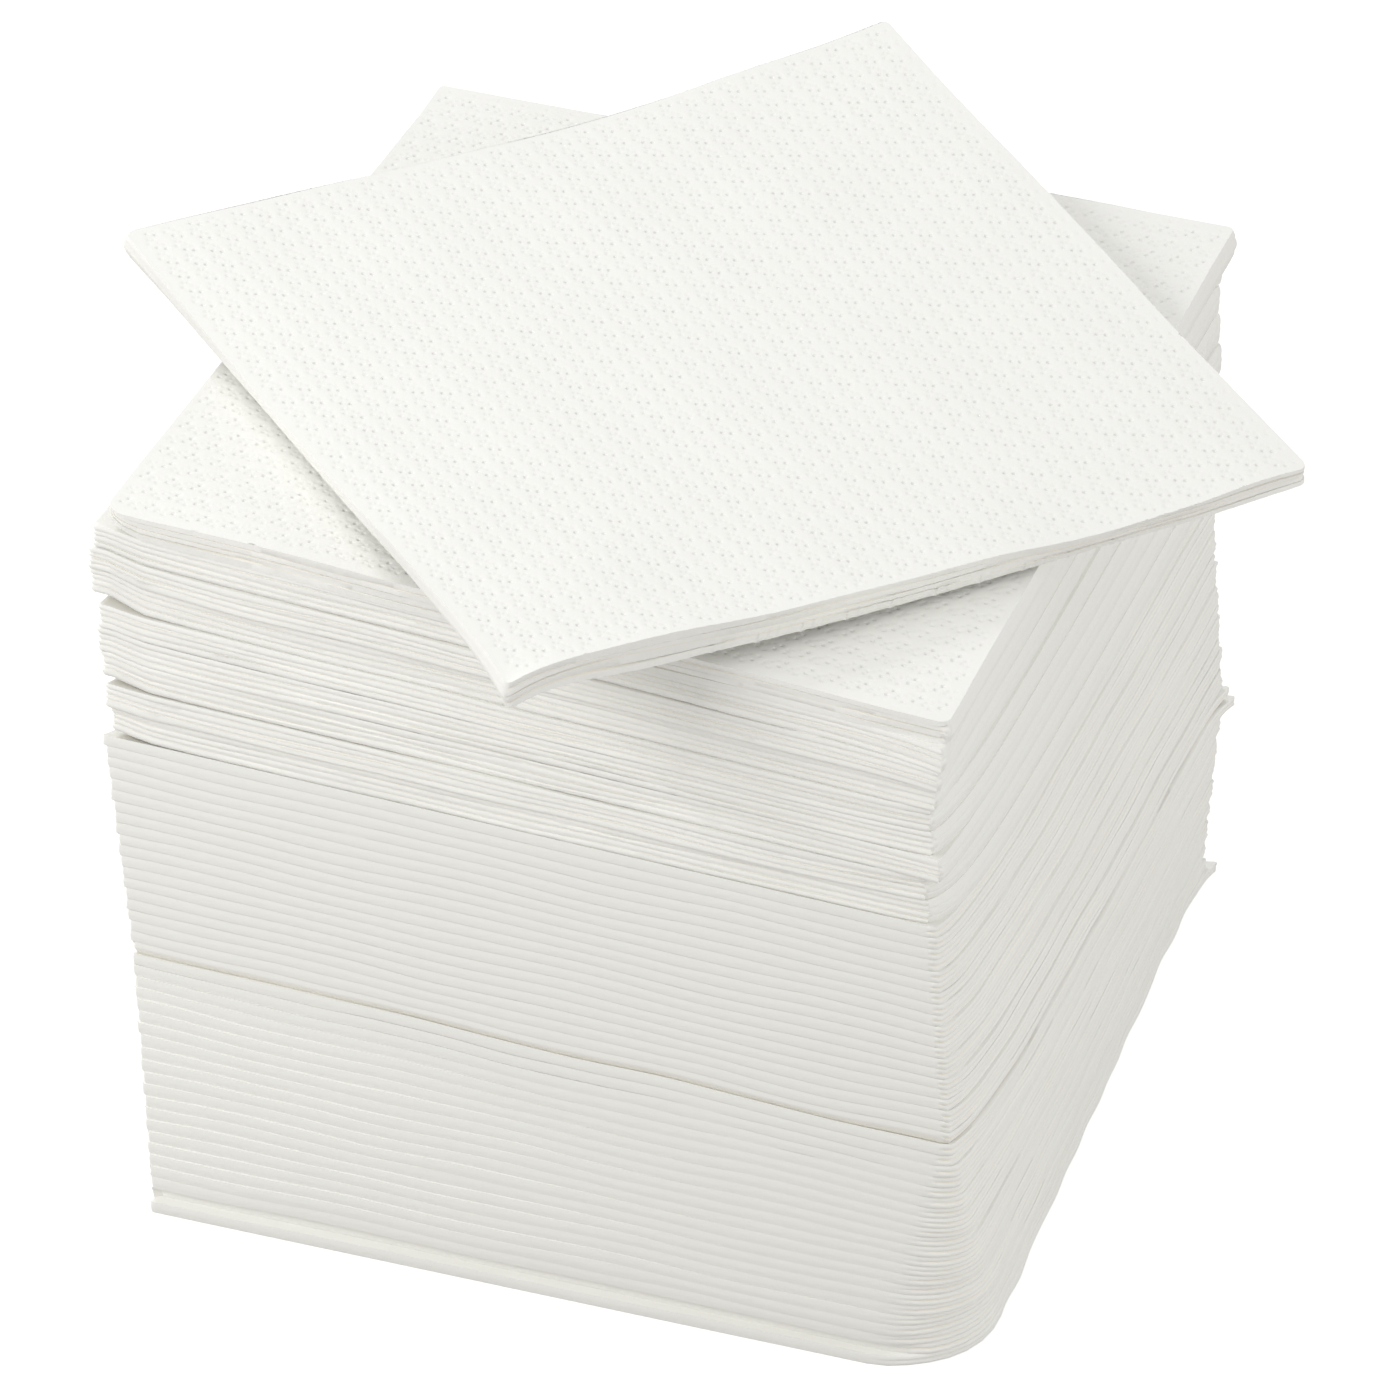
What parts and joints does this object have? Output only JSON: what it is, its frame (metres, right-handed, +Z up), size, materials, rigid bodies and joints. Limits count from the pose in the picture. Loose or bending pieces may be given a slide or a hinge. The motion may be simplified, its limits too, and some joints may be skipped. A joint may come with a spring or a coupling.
{
  "type": "stack of paper napkins",
  "caption": "Tall square stack of quarter-folded embossed white paper napkins, with one laid across the top at an angle.",
  "frame": {"origin": "on the surface that the stack stands on, under the middle of the stack", "axes": "+X along the front to the right, +Y to the back, +Z up"},
  "size_m": [0.1694, 0.1694, 0.1244],
  "materials": {
    "napkin_paper": "matte"
  },
  "bodies": {
    "root": {"napkin_01": "napkin_paper", "napkin_02": "napkin_paper", "napkin_03": "napkin_paper", "napkin_04": "napkin_paper", "napkin_05": "napkin_paper", "napkin_06": "napkin_paper", "napkin_07": "napkin_paper", "napkin_08": "napkin_paper", "napkin_09": "napkin_paper", "napkin_10": "napkin_paper", "napkin_11": "napkin_paper", "napkin_12": "napkin_paper", "napkin_13": "napkin_paper", "napkin_14": "napkin_paper", "napkin_15": "napkin_paper", "napkin_16": "napkin_paper", "napkin_17": "napkin_paper", "napkin_18": "napkin_paper", "napkin_19": "napkin_paper", "napkin_20": "napkin_paper", "napkin_21": "napkin_paper", "napkin_22": "napkin_paper", "napkin_23": "napkin_paper", "napkin_24": "napkin_paper", "napkin_25": "napkin_paper", "napkin_26": "napkin_paper", "napkin_27": "napkin_paper", "napkin_28": "napkin_paper", "napkin_29": "napkin_paper", "napkin_30": "napkin_paper", "napkin_31": "napkin_paper", "napkin_32": "napkin_paper", "napkin_33": "napkin_paper", "napkin_34": "napkin_paper", "napkin_35": "napkin_paper", "napkin_36": "napkin_paper", "napkin_37": "napkin_paper", "napkin_38": "napkin_paper", "napkin_39": "napkin_paper", "napkin_40": "napkin_paper", "napkin_41": "napkin_paper", "napkin_42": "napkin_paper", "napkin_43": "napkin_paper", "napkin_44": "napkin_paper", "napkin_45": "napkin_paper", "napkin_46": "napkin_paper", "napkin_47": "napkin_paper", "napkin_48": "napkin_paper", "napkin_49": "napkin_paper", "napkin_50": "napkin_paper", "napkin_51": "napkin_paper", "turned_napkin": "napkin_paper"}
  },
  "joints": []
}
